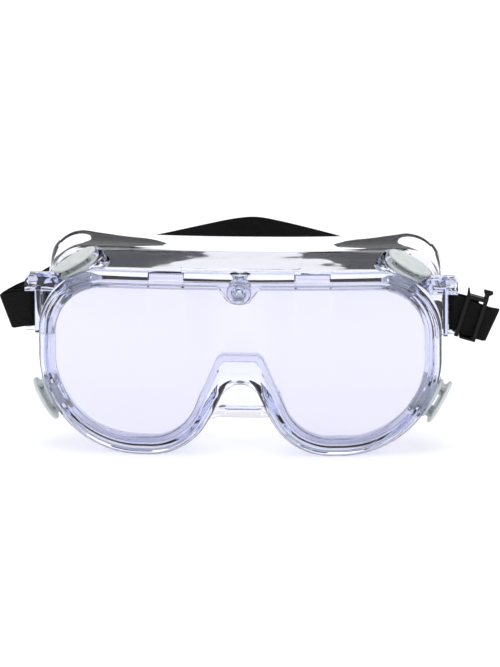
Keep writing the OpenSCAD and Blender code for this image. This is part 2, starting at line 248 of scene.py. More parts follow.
def arc(x, z, r, start_deg, end_deg, n):
    a = np.radians(np.linspace(start_deg, end_deg, n + 1))
    return np.column_stack([x + r * np.cos(a), z + r * np.sin(a)])


def between(p, q, n):
    t = np.linspace(0, 1, n + 1)[1:-1, None]
    return p + (q - p) * t


def outline(shape, d=0.0):
    """The whole outline, clockwise in a front view from the middle of the top edge."""
    cx, cz, cr, lx, lz, lr, ix, iz, ir, nx, nz, nr = inset(shape, d)
    reach = math.hypot(ix - nx, nz - iz)
    tangent = math.degrees(math.atan2(nz - iz, ix - nx) + math.asin((ir + nr) / reach))
    corner = arc(cx, cz, cr, 90, 0, COUNTS["corner"])
    lobe = arc(lx, lz, lr, 0, -90, COUNTS["lobe"])
    inner = arc(ix, iz, ir, -90, -90 - tangent, COUNTS["inner"])
    nose = arc(nx, nz, nr, 90 - tangent, 90, COUNTS["nose"])
    top = np.array([[0, cz + cr]])
    half = np.vstack([top, between(top[0], corner[0], COUNTS["top"]), corner,
                      between(corner[-1], lobe[0], COUNTS["side"]), lobe,
                      between(lobe[-1], inner[0], COUNTS["bottom"]), inner,
                      between(inner[-1], nose[0], COUNTS["flank"]), nose])
    return np.vstack([half, half[:0:-1] * (-1, 1)])


def ease(t):
    c = np.clip(t, 0, 1)
    return c * c * (3 - 2 * c)


print("points round an outline:", len(outline(RIM)))

# %% [markdown]
# ## Depths
# The lens and the rim are bent to a large cylinder. The back edge follows a face instead: deep at the
# temples, shallower at the forehead and much shallower over the nose. Each is a formula of where a point
# lies in the front plane, so that no edge has to be placed by hand.

# %% Depth formulas, in millimetres
BEND_RADIUS = 600
DEPTH_MID, DEPTH_TEMPLE, DEPTH_NOSE = 37, 6, 15
HALF_WIDTH = 84
CROWN_DROP = 1.1


def bend(x):
    return BEND_RADIUS - np.sqrt(BEND_RADIUS ** 2 - x ** 2)


def root_depth(p):
    nose = np.exp(-(p[:, 0] / 14) ** 2) * ease((48 - p[:, 1]) / 26)
    return DEPTH_MID + DEPTH_TEMPLE * (np.abs(p[:, 0]) / HALF_WIDTH) ** 2.2 - DEPTH_NOSE * nose


def tip_depth(p):
    return root_depth(p) + 5 + 2 * (p[:, 0] / HALF_WIDTH) ** 2


def crowned(p):
    """Lowers the flange's top edge towards the middle of the forehead."""
    drop = CROWN_DROP * (1 - np.minimum(np.abs(p[:, 0]) / TIP[0], 1) ** 4) * (p[:, 1] > 60)
    return p - np.column_stack([np.zeros(len(p)), drop])


def ring(p, y):
    return np.column_stack([p[:, 0], y, p[:, 1]])


def face_ring(shape, d, y):
    p = outline(shape, d)
    return ring(p, bend(p[:, 0]) + y)


print("depth at the temple %.1f mm" % root_depth(np.array([[HALF_WIDTH, 50.0]]))[0])

# %% [markdown]
# ## The frame
# The real frame is one moulding of soft clear PVC. Its section changes all the way round, but its parts
# stay the same: a lip in front of the lens, a stepped bead, a groove, a wall and an outward flange that
# lies on the face. So we build it as a closed loop of rings: from the lip, over the bead, back along the
# outside of the wall, round the flange's edge and forward again along the inside to the groove.
# The bead stops at two seams on the top edge, where the lip is a separate flap, so the rings near the
# bead blend to a plain edge between the seams.

# %% Rings of the frame
SEAM_X = 62.0
WALL_T = 2.0
LENS_Y, LENS_T, GROOVE_GAP, LENS_BITE = 2.4, 2.0, 0.12, 3.0
LIP_BACK = LENS_Y - GROOVE_GAP
GROOVE_BACK = LENS_Y + LENS_T + GROOVE_GAP


def flap(p):
    """1 between the seams on the top edge, 0 where the bead runs."""
    return ease((SEAM_X - np.abs(p[:, 0])) / 0.8 + 0.5) * ease((p[:, 1] - 60) / 6)


# The groove swings away from the edge as it climbs to the arch over the nose and ends there, and the
# edge's front corner draws back in a smooth scoop across the arch.
RIM_EDGE = outline(RIM)
RIM_INWARDS = outline(RIM, 1.0) - RIM_EDGE
SWING, SCOOP, SCOOP_HALF_WIDTH = 4.4, 3.4, 11.5
SCOOP_FULL = 3.8  # a scoop of this size would draw the edge back by all of scoop_y
off_middle = np.abs(RIM_EDGE[:, 0])
over_nose = (RIM_EDGE[:, 1] < 34) * ease((RIM_EDGE[:, 1] - 17) / 4) * (off_middle < 14)
arch = over_nose * ease((8.5 - off_middle) / 2.5)
swing = over_nose * SWING * np.clip((7.7 - off_middle) / 3, 0, 1) ** 1.2
scoop = over_nose * SCOOP * np.cos(np.clip(off_middle / SCOOP_HALF_WIDTH, 0, 1) * math.pi / 2)


def bead_ring(d, y, flap_d, flap_y, swing_share=0.0, scoop_share=0.0, scoop_y=0.0):
    """A ring of the rim's outer edge: (d, y) along the bead, (flap_d, flap_y) between the seams."""
    w = flap(RIM_EDGE)
    inwards = d + (flap_d - d) * w + swing * swing_share + scoop * scoop_share
    p = RIM_EDGE + RIM_INWARDS * inwards[:, None]
    depth = y * (1 - arch * swing_share) + scoop / SCOOP_FULL * scoop_y
    return ring(p, bend(p[:, 0]) + depth + (flap_y - depth) * w)


def wall_ring(front, back_points, t):
    """Between a front ring and the root of the flange."""
    back = ring(back_points, root_depth(back_points))
    return front + (back - front) * t


def lip_ring(d, y):
    """A ring of the lip's step, which widens at the two corners over the nose."""
    p = outline(OPENING)
    x = np.abs(p[:, 0])
    wide = 1.5 * np.exp(-((x - 8.5) / 2.5) ** 2) * (x < 16) * (p[:, 1] < 46)
    p = p + (outline(OPENING, 1.0) - p) * (d - wide)[:, None]
    return ring(p, bend(p[:, 0]) + y)


lip = [face_ring(OPENING, 0.1, LIP_BACK), face_ring(OPENING, 0.0, LIP_BACK - 0.3),
       face_ring(OPENING, 0.0, 1.1), face_ring(OPENING, -0.15, 0.7), face_ring(OPENING, -0.5, 0.5),
       face_ring(OPENING, -1.5, 0.45),
       lip_ring(-1.9, 0.35), lip_ring(-2.1, 0.1), lip_ring(-2.5, 0.0)]
bead = [bead_ring(3.3, 0.0, 3.3, 0.0, 1, 0), bead_ring(2.9, 0.05, 2.6, 0.0, 1, 0),
        bead_ring(2.6, 0.3, 2.0, 0.03, 1, 0), bead_ring(2.45, 0.7, 1.5, 0.1, 1, 0),
        bead_ring(2.2, 0.85, 1.1, 0.22, 1, 0), bead_ring(1.95, 0.7, 0.8, 0.4, 1, 0.1),
        bead_ring(1.5, 0.5, 0.5, 0.65, 0.9, 0.5, 0.0), bead_ring(0.95, 0.55, 0.3, 0.95, 0, 0.95, 0.1),
        bead_ring(0.45, 0.9, 0.15, 1.3, 0, 0.8, 1.0), bead_ring(0.12, 1.5, 0.05, 1.8, 0, 0.55, 2.2),
        bead_ring(0.0, 2.4, 0.0, 2.6, 0, 0.3, 3.2), bead_ring(0.0, 5.4, 0.0, 5.4, 0, 0, 1.8),
        bead_ring(0.12, 6.5, 0.1, 6.4), bead_ring(0.5, 7.3, 0.2, 7.1), bead_ring(1.1, 7.9, 0.3, 7.7),
        bead_ring(1.9, 8.15, 0.4, 8.1)]
wall_front = bead_ring(2.4, 8.6, 0.5, 8.6)
inner_front = bead_ring(4.4, 8.6, 2.5, 8.6)
root, root_in = outline(ROOT), outline(ROOT, WALL_T)
tip = crowned(outline(TIP))
wall = [wall_ring(wall_front, root, t) for t in np.linspace(0, 0.94, 12)]
curl = [ring(root + (tip - root) * t, root_depth(root) * (1 - t) + tip_depth(tip) * t + sag)
        for t, sag in ((0.03, 0.0), (0.14, 0.5), (0.3, 0.7), (0.5, 0.7), (0.7, 0.45), (0.88, 0.15))]
edge = [ring(crowned(outline(TIP, 0.25)), tip_depth(tip) - 0.1), ring(tip, tip_depth(tip) + 0.35),
        ring(crowned(outline(TIP, 0.2)), tip_depth(tip) + 0.75),
        ring(crowned(outline(TIP, 0.7)), tip_depth(tip) + 0.85)]
back = [ring(root_in + (crowned(outline(TIP, 1.9)) - root_in) * t,
             (root_depth(root_in) + 0.6) * (1 - t) + (tip_depth(tip) + 0.6) * t + sag)
        for t, sag in ((0.85, 0.35), (0.6, 0.9), (0.35, 1.2), (0.15, 0.9), (0.04, 0.3))]
inside = [wall_ring(inner_front, root_in, t) for t in np.linspace(0.95, 0, 12)]
groove = [face_ring(OPENING, 0.5, GROOVE_BACK + 2.6), face_ring(OPENING, 0.0, GROOVE_BACK + 2.1),
          face_ring(OPENING, 0.0, GROOVE_BACK + 0.2), face_ring(OPENING, -0.2, GROOVE_BACK),
          face_ring(OPENING, -LENS_BITE - GROOVE_GAP, GROOVE_BACK),
          face_ring(OPENING, -LENS_BITE - GROOVE_GAP, LIP_BACK)]
rings = np.array(lip + bead + wall + curl + edge + back + inside + groove) * MM
print("rings:", rings.shape)

# %% [markdown]
# The grid becomes one closed skin. The seams are two shallow cuts across the top lip, pressed in as a
# narrow dip in the front face, which needs no extra geometry because the outline is dense there.

# %% Skin of the frame
SEAM_DEPTH = 0.45 * MM
SEAM_WIDTH = 0.35 * MM
count_r, count_p = rings.shape[:2]
FACE_DEPTH, TOP_EDGE_FROM = 2.0 * MM, 66 * MM
near_face = rings[:, :, 1] - bend(rings[:, :, 0] / MM) * MM < FACE_DEPTH
near_face &= rings[:, :, 2] > TOP_EDGE_FROM
dip = np.exp(-((np.abs(rings[:, :, 0]) - SEAM_X * MM) / SEAM_WIDTH) ** 2)
rings[:, :, 1] += SEAM_DEPTH * dip * near_face
skin_faces = []
for i in range(count_r):
    this, following = i * count_p, (i + 1) % count_r * count_p
    skin_faces += [(this + j, this + (j + 1) % count_p, following + (j + 1) % count_p, following + j)
                   for j in range(count_p)]
skin = mesh_from("frame_body_soft", rings.reshape(-1, 3), skin_faces)
skirt = outward(add_piece("frame_body_soft", skin))
print("frame skin:", len(skirt.data.polygons), "faces")

# %% [markdown]
# ## Vents and their bosses
# The lower vents sit on round bosses that stand up to the rim's line. The upper ones are sunk into a well,
# because the wall slopes up behind them, and a collar round the well follows that slope. A vent has its
# own small frame, with its axis pointing out of the wall, so all four are made once in that frame and
# then placed.

# %% Where the vents sit
UPPER_AT, UPPER_REACH, UPPER_ANGLE, LOWER_ANGLE = 66, 23.9, 60, -30
UPPER_Y, LOWER_Y = 24, 22
BOSS_R, BOSS_DEPTH, NECK_R = 9.6, 5.0, 6.8
WELL_R, COLLAR_R, COLLAR_TOP, WALL_SLOPE = 10.4, 12.0, 2.2, 11.8
WELL_BACK_R = 8.4


def vent_matrix(upper, left):
    if upper:
        centre_x, centre_z, radius, y = RIM[0], RIM[1], UPPER_REACH, UPPER_Y
    else:
        centre_x, centre_z, radius, y = RIM[3], RIM[4], RIM[5], LOWER_Y
    at = math.radians(UPPER_AT if upper else LOWER_ANGLE)
    angle = math.radians(UPPER_ANGLE if upper else LOWER_ANGLE)
    spot = Vector((centre_x + radius * math.cos(at), y, centre_z + radius * math.sin(at)))
    turned = Matrix.Translation(spot * MM) @ Matrix.Rotation(math.pi / 2 - angle, 4, "Y")
    return MIRROR @ turned if left else turned


def boss(upper):
    if not upper:
        return turned_solid("boss", [(0, 0), (BOSS_R - 0.6, 0), (BOSS_R - 0.15, -0.15), (BOSS_R, -0.6),
                                     (BOSS_R, -BOSS_DEPTH), (0, -BOSS_DEPTH)])
    collar = turned_solid("collar", [(0, 5), (COLLAR_R, 5), (COLLAR_R, -BOSS_DEPTH), (0, -BOSS_DEPTH)])
    keep = block("keep", (-20 * MM, -20 * MM, (COLLAR_TOP - 20) * MM), (20 * MM, 20 * MM, COLLAR_TOP * MM))
    place(keep, Matrix.Rotation(math.radians(WALL_SLOPE), 4, "X"))
    return bevel(cut_or_join(collar, keep, "INTERSECT"), 0.5 * MM, 2)


VENTS = {"upper_left": vent_matrix(True, True), "upper_right": vent_matrix(True, False),
         "lower_left": vent_matrix(False, True), "lower_right": vent_matrix(False, False)}

for name, matrix in VENTS.items():
    cut_or_join(skirt, place(boss("upper" in name), matrix), "UNION")
NECK_HOLE_R = NECK_R + 0.05
for name, matrix in VENTS.items():
    well = [(0, 4), (NECK_HOLE_R, 4)]
    if "upper" in name:
        well = [(0, 12), (WELL_R, 12), (WELL_R, 0), (NECK_HOLE_R, 0)]
    hole = turned_solid("hole", well + [(NECK_HOLE_R, -BOSS_DEPTH), (WELL_BACK_R, -BOSS_DEPTH),
                                        (WELL_BACK_R, -9), (0, -9)])
    cut_or_join(skirt, place(hole, matrix), "DIFFERENCE")
print("frame with bosses:", len(skirt.data.polygons), "faces")

# %% Tab for the button, windows for the lens tabs, blank panel on the top wall
BUTTON_Z = 71.0
SHANK_HOLE_R, SOCKET_HOLE_R = 1.9, 4.8
SOCKET_WALL = GROOVE_BACK + 2
BACKWARDS, FORWARDS = -1, 1
TAB_HALF = [(2.0, 65.7), (3.6, 66.1), (4.9, 67.0), (8.4, 71.3), (9.5, 73.6)]
TAB = [(-x, z) for x, z in TAB_HALF[::-1]] + TAB_HALF


def on_button_axis(y, facing):
    """Where a turned piece, made in millimetres, goes to lie on the button's axis, y behind the lip."""
    at = Matrix.Translation((0, y * MM, BUTTON_Z * MM))
    return at @ Matrix.Rotation(facing * math.pi / 2, 4, "X") @ Matrix.Scale(MM, 4)


for y_front, y_back in ((0.05, LIP_BACK), (GROOVE_BACK, SOCKET_WALL)):
    tab = extrude("tab", [(x * MM, z * MM) for x, z in TAB], y_front * MM, y_back * MM)
    cut_or_join(skirt, tab, "UNION")
WINDOW_X, WINDOW_W, WINDOW_Z = 23, 15, 75.2
for side in (-1, 1):
    x0, x1 = sorted((side * WINDOW_X, side * (WINDOW_X + WINDOW_W)))
    window = block("window", (x0 * MM, -2 * MM, WINDOW_Z * MM), (x1 * MM, 6.2 * MM, 84 * MM))
    cut_or_join(skirt, window, "DIFFERENCE")
    slot = block("slot", ((x0 + 0.2) * MM, 2.7 * MM, (WINDOW_Z - 1.2) * MM),
                 ((x1 - 0.2) * MM, 5.8 * MM, 76 * MM))
    cut_or_join(skirt, slot, "DIFFERENCE")
shank_hole = lathe("shank_hole", [(0, -1), (SHANK_HOLE_R, -1), (SHANK_HOLE_R, 12), (0, 12)])
cut_or_join(skirt, place(shank_hole, on_button_axis(0, BACKWARDS)), "DIFFERENCE")
socket_hole = lathe("socket_hole", [(0, 0), (SOCKET_HOLE_R, 0), (SOCKET_HOLE_R, 5), (0, 5)])
cut_or_join(skirt, place(socket_hole, on_button_axis(SOCKET_WALL, BACKWARDS)), "DIFFERENCE")

PANEL_HALF_X, PANEL_HALF_Y, PANEL_T = 25, 11, 1.1
PANEL_Y, PANEL_Z, PANEL_SLOPE = 22, 78.0, 4.4
ROUNDED = [(0, 2), (0.6, 0.6), (2, 0)]
CORNERS = ((-1, -1, ROUNDED), (1, -1, ROUNDED[::-1]), (1, 1, ROUNDED), (-1, 1, ROUNDED[::-1]))
panel_plan = [(side * (PANEL_HALF_X - a) * MM, end * (PANEL_HALF_Y - b) * MM)
              for side, end, cuts in CORNERS for a, b in cuts]
panel = lay_flat(extrude("panel", panel_plan, 0, PANEL_T * MM))
place(panel, Matrix.Translation((0, PANEL_Y * MM, PANEL_Z * MM))
      @ Matrix.Rotation(math.radians(PANEL_SLOPE), 4, "X"))
cut_or_join(skirt, panel, "UNION")
print("finished frame:", len(skirt.data.polygons), "faces")

# %% [markdown]
# ## Lens
# The lens is a 2 mm sheet cut to the groove's outline with two tabs on top, then bent. We cut the flat
# outline into narrow upright strips first, because a surface can only bend where it has edges.

# %% Lens
LENS_STRIP = 2.5
LENS_HALF_REACH = 80
TAB_TOP, TAB_CLEAR = 77.6, 0.4
LENS_BORE_R = 1.95


def flat_lens():
    """The groove's outline with a square tab let into its top edge at each window."""
    p = outline(OPENING, -LENS_BITE)
    top_z = OPENING[1] + OPENING[2] + LENS_BITE
    tab_low, tab_high = WINDOW_X + TAB_CLEAR, WINDOW_X + WINDOW_W - TAB_CLEAR
    right_tab = [(tab_low, top_z), (tab_low, TAB_TOP), (tab_high, TAB_TOP), (tab_high, top_z)]
    left_tab = [(-x, z) for x, z in right_tab[::-1]]
    top_edge = (p[:, 1] > top_z - 0.01) & (np.abs(p[:, 0]) < WINDOW_X + WINDOW_W + 0.5)
    rest = [tuple(q) for q in p[~top_edge]]
    return [(0, top_z)] + right_tab + rest + left_tab


bm = bmesh.new()
corners = [bm.verts.new((x * MM, LENS_Y * MM, z * MM)) for x, z in flat_lens()]
bm.faces.new(corners)
for x in np.arange(-LENS_HALF_REACH + LENS_STRIP, LENS_HALF_REACH, LENS_STRIP):
    geometry = bm.verts[:] + bm.edges[:] + bm.faces[:]
    bmesh.ops.bisect_plane(bm, geom=geometry, plane_co=(x * MM, 0, 0), plane_no=(1, 0, 0))
lens_mesh = bpy.data.meshes.new("lens_clear")
bm.to_mesh(lens_mesh)
bm.free()
lens = add_piece("lens_clear", lens_mesh)
thick = lens.modifiers.new("thickness", "SOLIDIFY")
thick.thickness = LENS_T * MM
thick.offset = 1.0
bake_modifiers(lens)
outward(lens)
co = np.array([v.co for v in lens.data.vertices])
co[:, 1] += LENS_Y * MM - co[:, 1].min() + bend(co[:, 0] / MM) * MM
for v, c in zip(lens.data.vertices, co):
    v.co = c
lens_bore = lathe("bore", [(0, -1), (LENS_BORE_R, -1), (LENS_BORE_R, 12), (0, 12)])
cut_or_join(lens, place(lens_bore, on_button_axis(0, BACKWARDS)), "DIFFERENCE")
bevel(lens, 0.25 * MM, 2, 50)
print("lens faces:", len(lens.data.polygons))

# %% [markdown]
# ## Snap button and its socket
# The lens is held at the top by a stud with a round ringed head, snapped into a ring behind the lens.
# Both are turned shapes, so a profile and a lathe are all they need. The stud can be pulled out to change
# the lens, so it rides on a body of its own.

# %% Button and socket
button = lathe("lens_button_clear", [
    (0, -9.6), (1.5, -9.6), (1.85, -9.2), (1.85, -0.2), (2.1, 0), (4.95, 0), (5.2, 0.25), (5.2, 0.9),
    (5.0, 1.3), (4.6, 1.55), (4.1, 1.6), (3.75, 1.5), (3.6, 1.15), (3.3, 1.0), (3.0, 1.1), (2.85, 1.5),
    (2.6, 1.7), (2.1, 1.7), (1.85, 1.5), (1.75, 1.0), (1.4, 0.8), (0, 0.75)])
place(button, on_button_axis(0, FORWARDS))
socket = lathe("button_socket_clear", [(r, -SOCKET_WALL - depth) for r, depth in (
    (1.9, 0), (4.4, 0), (4.6, 0.2), (4.6, 1.0), (4.3, 1.2), (3.5, 1.35), (3.4, 2.5), (3.1, 2.8), (2.2, 2.8),
    (1.9, 2.5))])
place(socket, on_button_axis(0, FORWARDS))
print("button faces:", len(button.data.polygons))

# %% [markdown]
# ## Vents
# A vent is two mouldings of milky plastic: a seat, which grips the wall between two flanges, and a cap,
# whose disc stands off on two posts so that air passes but a splash can't run in. Two prongs hold the
# cap in the seat's bore.

# %% Vent seats and caps
SEAT_T, BORE_R = 1.6, 5.0
DISC_Z, DISC_T, CAP_R = 3.8, 1.5, 9.8


def ring_post(r_in, r_out, centre_deg, half_deg, z_low, z_high):
    """A curved post: part of a ring between two radii."""
    angles = np.radians(np.linspace(centre_deg - half_deg, centre_deg + half_deg, 9))
    inner = [(r_in * math.cos(a), r_in * math.sin(a)) for a in angles]
    outer = [(r_out * math.cos(a), r_out * math.sin(a)) for a in angles[::-1]]
    plan = [(x * MM, y * MM) for x, y in inner + outer]
    return lay_flat(extrude("post", plan, z_low * MM, z_high * MM))


def vent_seat(name):
    outer = [(BORE_R, SEAT_T - 0.2), (BORE_R + 0.2, SEAT_T), (8.5, SEAT_T), (8.9, SEAT_T - 0.4), (8.9, 0.3),
             (8.6, 0.02), (NECK_R, 0.02)]
    inner = [(NECK_R, 0), (7.7, 0), (8.0, 0.3), (8.0, 0.9), (7.7, 1.2), (BORE_R + 0.3, 1.2), (BORE_R, 0.9)]
    return turned_solid(name, outer + [(r, -BOSS_DEPTH - depth) for r, depth in inner])


def vent_cap(name):
    top = DISC_Z + DISC_T
    disc = turned_solid("disc", [
        (0, DISC_Z), (CAP_R - 0.5, DISC_Z), (CAP_R - 0.12, DISC_Z + 0.15), (CAP_R, DISC_Z + 0.5),
        (CAP_R, DISC_Z + 0.9), (CAP_R - 0.15, DISC_Z + 1.25), (CAP_R - 0.6, top), (8.2, top),
        (7.9, top - 0.22), (7.5, top - 0.22), (7.2, top), (0, top)])
    for turn_deg in (0, 180):
        post = ring_post(6.2, 7.8, turn_deg, 26, SEAT_T, DISC_Z + 0.3)
        prong = ring_post(3.8, BORE_R - 0.05, turn_deg, 32, -2, DISC_Z + 0.3)
        cut_or_join(disc, post, "UNION")
        cut_or_join(disc, prong, "UNION")
    disc.name = name
    return bevel(disc, 0.12 * MM, 1, 40)


vent_pieces = {}
for name, matrix in VENTS.items():
    vent_pieces["seat_" + name] = place(vent_seat("vent_seat_milky_" + name), matrix)
    vent_pieces["cap_" + name] = place(vent_cap("vent_cap_milky_" + name), matrix)
print("vent pieces:", len(vent_pieces))

# %% [markdown]
# ## Strap lugs
# A lug carries the headband: an upper arm with a pocket, a lower arm, a standing strip beside the slot
# and a round bar for the webbing. We join flat plates of different depths into one body and then round
# its edges, which is what makes clear plastic sparkle.

# %% Strap lugs
LUG_Y = 20
BAR_X, BAR_R = 89.0, 1.4
SLOT_LOW, SLOT_HIGH, LUG_FOOT = 50.6, 66.7, 48.9


def plate(points, depth):
    plan = [(x * MM, z * MM) for x, z in points]
    return extrude("plate", plan, (LUG_Y - depth / 2) * MM, (LUG_Y + depth / 2) * MM)


def strap_lug(name):
    lug = plate([(76.2, SLOT_HIGH), (90.4, SLOT_HIGH), (90.4, 71), (88.6, 72.9), (76.6, 72.9), (74.2, 71)], 9)
    cut_or_join(lug, block("pocket", (85.4 * MM, 0, 68.3 * MM), (89 * MM, 60 * MM, 70.9 * MM)), "DIFFERENCE")
    strip = [(84.3, LUG_FOOT), (86.1, LUG_FOOT), (86.1, SLOT_HIGH + 0.5), (83.9, SLOT_HIGH + 0.5)]
    web = [(80.6, 47.2), (84.6, LUG_FOOT), (84.6, SLOT_HIGH + 0.5), (77.6, SLOT_HIGH + 0.5), (79.4, 58)]
    arm = [(80.4, LUG_FOOT), (90.1, LUG_FOOT), (90.1, SLOT_LOW), (80.4, SLOT_LOW)]
    for points, depth in ((strip, 10), (web, 2.4), (arm, 2.2)):
        cut_or_join(lug, plate(points, depth), "UNION")
    bar_low, bar_high = SLOT_LOW - 0.4, SLOT_HIGH + 1
    bar = turned_solid("bar", [(0, bar_low), (BAR_R, bar_low), (BAR_R, bar_high), (0, bar_high)], 32)
    cut_or_join(lug, place(bar, Matrix.Translation((BAR_X * MM, LUG_Y * MM, 0))), "UNION")
    vent_room = turned_solid("vent_room", [(0, -9), (8.9, -9), (8.9, 0), (10.2, 0), (10.2, 14), (0, 14)])
    cut_or_join(lug, place(vent_room, VENTS["upper_right"]), "DIFFERENCE")
    lug.name = name
    return bevel(lug, 0.35 * MM, 2, 40)


lug_right = strap_lug("strap_lug_clear_right")
lug_left = place(strap_lug("strap_lug_clear_left"), MIRROR)
print("lug faces:", len(lug_right.data.polygons))

# %% [markdown]
# ## Headband
# The headband is one length of woven elastic, 15 mm wide. Between its ends it is a long flat ribbon whose
# middle line we know, so we sweep a ribbed section along that line. Its ends wrap the lugs' bars. In the
# motion model the ends stay with the lugs and the rest tilts, so they are three pieces of one webbing.

# %% Sections of the webbing
BAND_W, BAND_T = 15.0, 1.2
RIB_COUNT = 15
RIB_HEIGHT = 0.09


def spline(stations, steps):
    """A smooth curve through the stations, with so many steps between each two."""
    s = np.array(stations, float)
    points = []
    for i in range(len(s) - 1):
        a, b, c, d = s[max(i - 1, 0)], s[i], s[i + 1], s[min(i + 2, len(s) - 1)]
        for t in np.linspace(0, 1, steps, endpoint=False):
            points.append(0.5 * (2 * b + (c - a) * t + (2 * a - 5 * b + 4 * c - d) * t ** 2
                                 + (3 * b - a - 3 * c + d) * t ** 3))
    points.append(s[-1])
    return np.array(points)


def band_section(points_across=76):
    """Half thickness and place across the width, right round the ribbon, with a rib every millimetre."""
    w = np.linspace(-1, 1, points_across)
    rib = RIB_HEIGHT * np.abs(np.cos(math.pi * RIB_COUNT * (w + 1) / 2))
    edge_round = np.sqrt(np.clip(1 - np.clip((np.abs(w) - 0.94) / 0.06, 0, 1) ** 2, 0.02, 1))
    half = (BAND_T / 2 - RIB_HEIGHT + rib) * edge_round
    front = np.column_stack([w * BAND_W / 2, half])
    return np.vstack([front, front[::-1] * (1, -1)])


def webbing(name, stations, steps=6):
    """A ribbon along stations of x, y, z, lean: lean is how far its width leans over towards +X."""
    s = spline(stations, steps)
    middle = s[:, :3]
    along = np.gradient(middle, axis=0)
    lean = np.radians(s[:, 3])
    across = np.column_stack([np.sin(lean), np.zeros(len(s)), np.cos(lean)])
    through = np.cross(along, across)
    through /= np.linalg.norm(through, axis=1)[:, None]
    section = band_section()
    n = len(section)
    points = np.vstack([m + section[:, :1] * w + section[:, 1:] * t
                        for m, w, t in zip(middle, across, through)])
    faces = [(i * n + j, i * n + (j + 1) % n, (i + 1) * n + (j + 1) % n, (i + 1) * n + j)
             for i in range(len(s) - 1) for j in range(n)]
    last = (len(s) - 1) * n
    half = n // 2
    for start in (0, last):
        faces += [(start + j, start + j + 1, start + n - 2 - j, start + n - 1 - j) for j in range(half - 1)]
    piece = outward(add_piece(name, mesh_from(name, points * MM, faces)))
    length = np.linalg.norm(np.diff(middle, axis=0), axis=1).sum()
    print(name, "length %.0f mm," % length, len(piece.data.polygons), "faces")
    return piece


LEFT_JOINT = (-88.4, 46, 57.2, 0)
RIGHT_JOINT = (87.6, 46, 51.6, 0)
BAND_MIDDLE = [(-85.2, 57, 57.4, 0), (-80, 69, 57.6, 0), (-71, 83.5, 57.9, 0), (-60, 97.5, 58, 0),
               (-48.7, 108.5, 58, 0), (-37, 119, 58, 0), (-24, 131.3, 58, 0), (-14, 140.5, 58, 0),
               (-7, 145.3, 58, 0), (-2, 146.6, 58, 0), (3, 145.2, 57.9, 0), (11, 139.5, 57.8, 0),
               (20.5, 132, 57.6, 0), (34, 121.5, 57, 0), (50, 107.5, 56.2, 0), (64, 92.5, 55, 0),
               (75, 77, 53.8, 0), (82, 65, 52.8, 0), (85.8, 55.5, 52, 0)]
WRAP_R = BAR_R + 0.15 + BAND_T / 2
WRAP_Z = 58.4


def wrap(side):
    """Stations half way round the bar of a lug."""
    return [(side * (BAR_X + WRAP_R * math.cos(a)), LUG_Y + WRAP_R * math.sin(a), WRAP_Z, 0)
            for a in np.radians(np.arange(90, 271, 22.5))]


LEFT_HEM = [(-97, 22.6, 57.4, -14), (-93, 22.35, 58.1, -5)]
LEFT_RUN = [(-92, 18.3, 58.1, -6), (-95.5, 19, 57.3, -14), (-97.4, 19.8, 56.7, -19), (-98.2, 20.8, 56.6, -20),
            (-98.2, 22.4, 56.6, -19), (-97.4, 26, 56.7, -15), (-94.4, 34, 57, -8), (-90.6, 41.6, 57.2, -2)]
RIGHT_HEM = [(97, 22.6, 55.3, 16), (93, 22.3, 57.2, 8)]
RIGHT_RUN = [(91, 18.28, 57.6, 13), (93, 18.63, 56.8, 18), (99, 19.69, 54.2, 20), (102.4, 20.3, 52.94, 22),
             (103.6, 20.9, 52.5, 24), (104, 22, 52.3, 24), (103.2, 23.4, 52.2, 23), (98, 27, 51.9, 18),
             (92.6, 31.4, 51.6, 10), (89.2, 38, 51.5, 3)]
headband = webbing("headband_webbing", [LEFT_JOINT] + BAND_MIDDLE + [RIGHT_JOINT], 14)
end_left = webbing("strap_end_webbing_left", LEFT_HEM + wrap(-1) + LEFT_RUN + [LEFT_JOINT], 5)
end_right = webbing("strap_end_webbing_right", RIGHT_HEM + wrap(1) + RIGHT_RUN + [RIGHT_JOINT], 5)

# %% [markdown]
# ## Slider
# The three-bar slider sets the headband's length. Its outer bars lie in front of the webbing and its
# middle bar behind, and a flared thumb tab stands up from its outer bar.

# %% Slider
SLIDER_L, SLIDER_TILT, SLIDER_HALF = 9.2, 18, 2.4
SLIDER_AT, SLIDER_TURN = (91, 18.27, 57.4), 10
RAIL_IN, RAIL_W, LOW_RAIL_W, RAIL_START = BAND_W / 2 + 0.75, 1.4, 0.8, 1.8
BAR_CLEAR, BAR_W, MIDDLE_BAR_X, BAR_BITE = BAND_T / 2 + 0.55, 1.5, 4.2, 0.5
SLIDER_PLACE = (Matrix.Translation(Vector(SLIDER_AT) * MM)
                @ Matrix.Rotation(math.radians(SLIDER_TURN), 4, "Z")
                @ Matrix.Rotation(math.radians(SLIDER_TILT), 4, "Y") @ Matrix.Scale(MM, 4))


def slider_bar(x, y_low, y_high):
    return block("bar", (x, y_low, -RAIL_IN - BAR_BITE), (x + BAR_W, y_high, RAIL_IN + BAR_BITE))


slider = block("rail", (RAIL_START, -SLIDER_HALF, RAIL_IN), (SLIDER_L, SLIDER_HALF, RAIL_IN + RAIL_W))
low_rail = block("rail", (RAIL_START + 0.7, -SLIDER_HALF, -RAIL_IN - LOW_RAIL_W),
                 (SLIDER_L, SLIDER_HALF, -RAIL_IN))
inner_bar = slider_bar(0, -SLIDER_HALF, -BAR_CLEAR)
outer_bar = slider_bar(SLIDER_L - BAR_W, -SLIDER_HALF, -BAR_CLEAR)
middle_bar = slider_bar(MIDDLE_BAR_X, BAR_CLEAR, SLIDER_HALF)
bridge = block("bridge", (0, -SLIDER_HALF, RAIL_IN), (RAIL_START + 0.5, -BAR_CLEAR, RAIL_IN + RAIL_W))
THUMB = [(-2, RAIL_IN + 1), (0, RAIL_IN + 1), (-0.2, 11.4), (1.2, 12.7), (0.8, 13.8), (-3, 13.6),
         (-2.8, 12.6), (-2, 11.4)]
